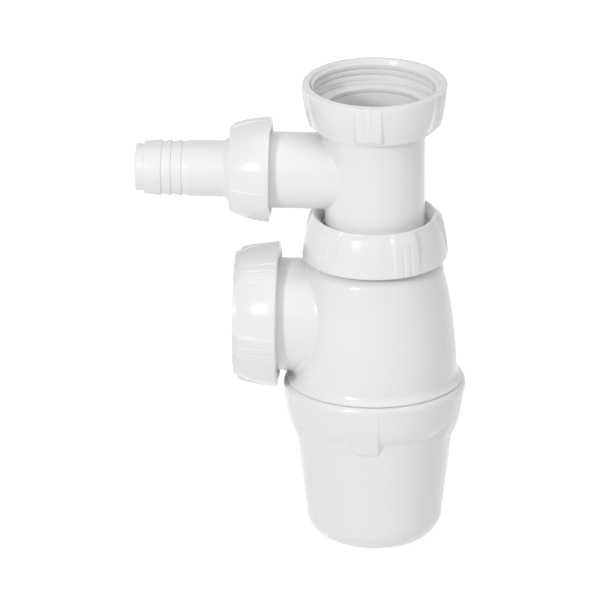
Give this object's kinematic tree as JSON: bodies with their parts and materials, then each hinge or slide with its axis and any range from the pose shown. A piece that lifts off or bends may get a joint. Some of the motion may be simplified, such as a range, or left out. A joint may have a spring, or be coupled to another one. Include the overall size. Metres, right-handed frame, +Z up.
{
  "type": "sink trap with appliance inlet",
  "caption": "Compact bottle trap for a sink: threaded upright inlet on a tee with a barbed appliance hose spigot, side outlet with a compression nut, screw-off cup.",
  "frame": {"origin": "centre of the cup's flat underside, on the upright axis of the inlet and cup", "axes": "+Z up along the inlet's axis; the waste outlet and the hose spigot point along -X; the side that the picture shows faces -Y"},
  "size_m": [0.1258, 0.0696, 0.184],
  "materials": {
    "white_gloss": "gloss",
    "white_washer": "satin",
    "pale_rubber": "matte"
  },
  "bodies": {
    "trap": {"trap_body": "white_gloss"},
    "cup_seal": {"cup_seal": "pale_rubber"},
    "cup": {"cup": "white_gloss"},
    "neck_slip_ring": {"neck_slip_ring": "white_washer"},
    "neck_nut": {"neck_nut": "white_gloss"},
    "neck_cone_seal": {"neck_cone_seal": "pale_rubber"},
    "tee": {"inlet_tee": "white_gloss"},
    "inlet_washer": {"inlet_washer": "white_washer"},
    "inlet_nut": {"inlet_nut": "white_gloss"},
    "spigot": {"hose_spigot": "white_gloss", "spigot_washer": "pale_rubber"},
    "spigot_nut": {"spigot_nut": "white_gloss"},
    "outlet_rings": {"outlet_slip_ring": "white_washer", "outlet_cone_seal": "pale_rubber"},
    "outlet_nut": {"outlet_nut": "white_gloss"}
  },
  "joints": [
    {"name": "cup_travel", "type": "slide", "parent": "trap", "child": "cup_seal", "axis": [0, 0, -1], "range_m": [0, 0.009]},
    {"name": "cup_turn", "type": "hinge", "parent": "cup_seal", "child": "cup", "pos_m": [0, 0, 0.05], "axis": [0, 0, -1], "range_deg": [0, 1080]},
    {"name": "neck_nut_travel", "type": "slide", "parent": "trap", "child": "neck_slip_ring", "axis": [0, 0, 1], "range_m": [0, 0.0018]},
    {"name": "neck_nut_turn", "type": "hinge", "parent": "neck_slip_ring", "child": "neck_nut", "pos_m": [0, 0, 0.12], "axis": [0, 0, 1], "range_deg": [0, 280]},
    {"name": "tee_swivel", "type": "hinge", "parent": "trap", "child": "neck_cone_seal", "pos_m": [0, 0, 0.12], "axis": [0, 0, 1], "continuous": true},
    {"name": "tee_lift", "type": "slide", "parent": "neck_cone_seal", "child": "tee", "axis": [0, 0, 1], "range_m": [0, 0.045]},
    {"name": "inlet_nut_turn", "type": "hinge", "parent": "tee", "child": "inlet_washer", "pos_m": [0, 0, 0.175], "axis": [0, 0, 1], "continuous": true},
    {"name": "inlet_nut_slide", "type": "slide", "parent": "inlet_washer", "child": "inlet_nut", "axis": [0, 0, -1], "range_m": [0, 0.0008]},
    {"name": "spigot_travel", "type": "slide", "parent": "tee", "child": "spigot", "axis": [-1, 0, 0], "range_m": [0, 0.00693]},
    {"name": "spigot_nut_turn", "type": "hinge", "parent": "spigot", "child": "spigot_nut", "pos_m": [-0.045, 0, 0.1476], "axis": [-1, 0, 0], "range_deg": [0, 1080]},
    {"name": "outlet_nut_travel", "type": "slide", "parent": "trap", "child": "outlet_rings", "axis": [-1, 0, 0], "range_m": [0, 0.00924]},
    {"name": "outlet_nut_turn", "type": "hinge", "parent": "outlet_rings", "child": "outlet_nut", "pos_m": [-0.045, 0, 0.0887], "axis": [-1, 0, 0], "range_deg": [0, 1440]}
  ],
  "couplings": [
    {"joint": "cup_travel", "follows": "cup_turn", "m_per_rad": 0.00047746},
    {"joint": "neck_nut_travel", "follows": "neck_nut_turn", "m_per_rad": 0.00036749},
    {"joint": "spigot_travel", "follows": "spigot_nut_turn", "m_per_rad": 0.00036749},
    {"joint": "outlet_nut_travel", "follows": "outlet_nut_turn", "m_per_rad": 0.00036749}
  ]
}
